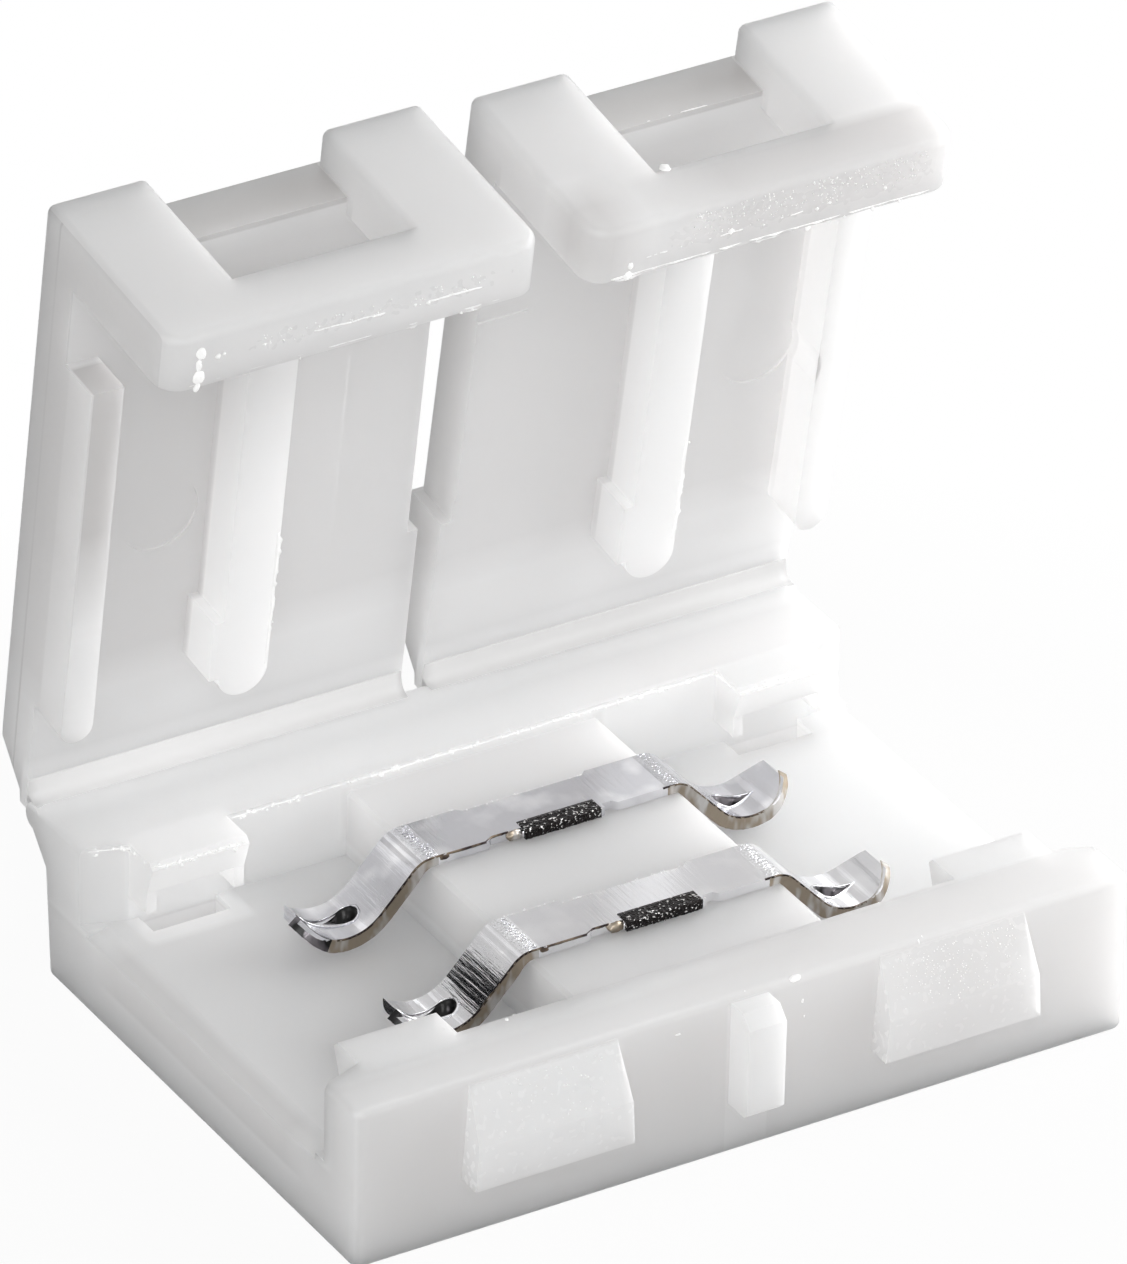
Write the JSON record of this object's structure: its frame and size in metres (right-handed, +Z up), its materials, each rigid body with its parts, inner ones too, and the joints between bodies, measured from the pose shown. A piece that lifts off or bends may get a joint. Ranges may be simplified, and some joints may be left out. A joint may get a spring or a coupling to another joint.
{
  "type": "led strip connector",
  "caption": "Hinged clip connector that joins two LED strip ends: open tray with spring contact bars and snap-down lids on a living hinge.",
  "frame": {"origin": "on the underside, on the strip's centre line, half way along the tray", "axes": "+X along the strip towards its right end, -Y towards the latches and +Y towards the hinge, +Z up out of the open tray"},
  "size_m": [0.016, 0.0133, 0.0159],
  "materials": {
    "moulding": "natural translucent white moulding, satin",
    "contact": "bright nickel plate on sprung copper alloy, sheared edges"
  },
  "bodies": {
    "base": {"base_tray": "moulding", "front_contact": "contact", "rear_contact": "contact"},
    "left_lid": {"left_lid": "moulding"},
    "right_lid": {"right_lid": "moulding"}
  },
  "joints": [
    {"name": "left_lid_hinge", "type": "hinge", "parent": "base", "child": "left_lid", "pos_m": [0, 0.00609, 0.00303], "axis": [1, 0, 0], "range_deg": [-98.2, 81.8]},
    {"name": "right_lid_hinge", "type": "hinge", "parent": "base", "child": "right_lid", "pos_m": [0, 0.00609, 0.00303], "axis": [1, 0, 0], "range_deg": [-99.3, 80.7]}
  ]
}
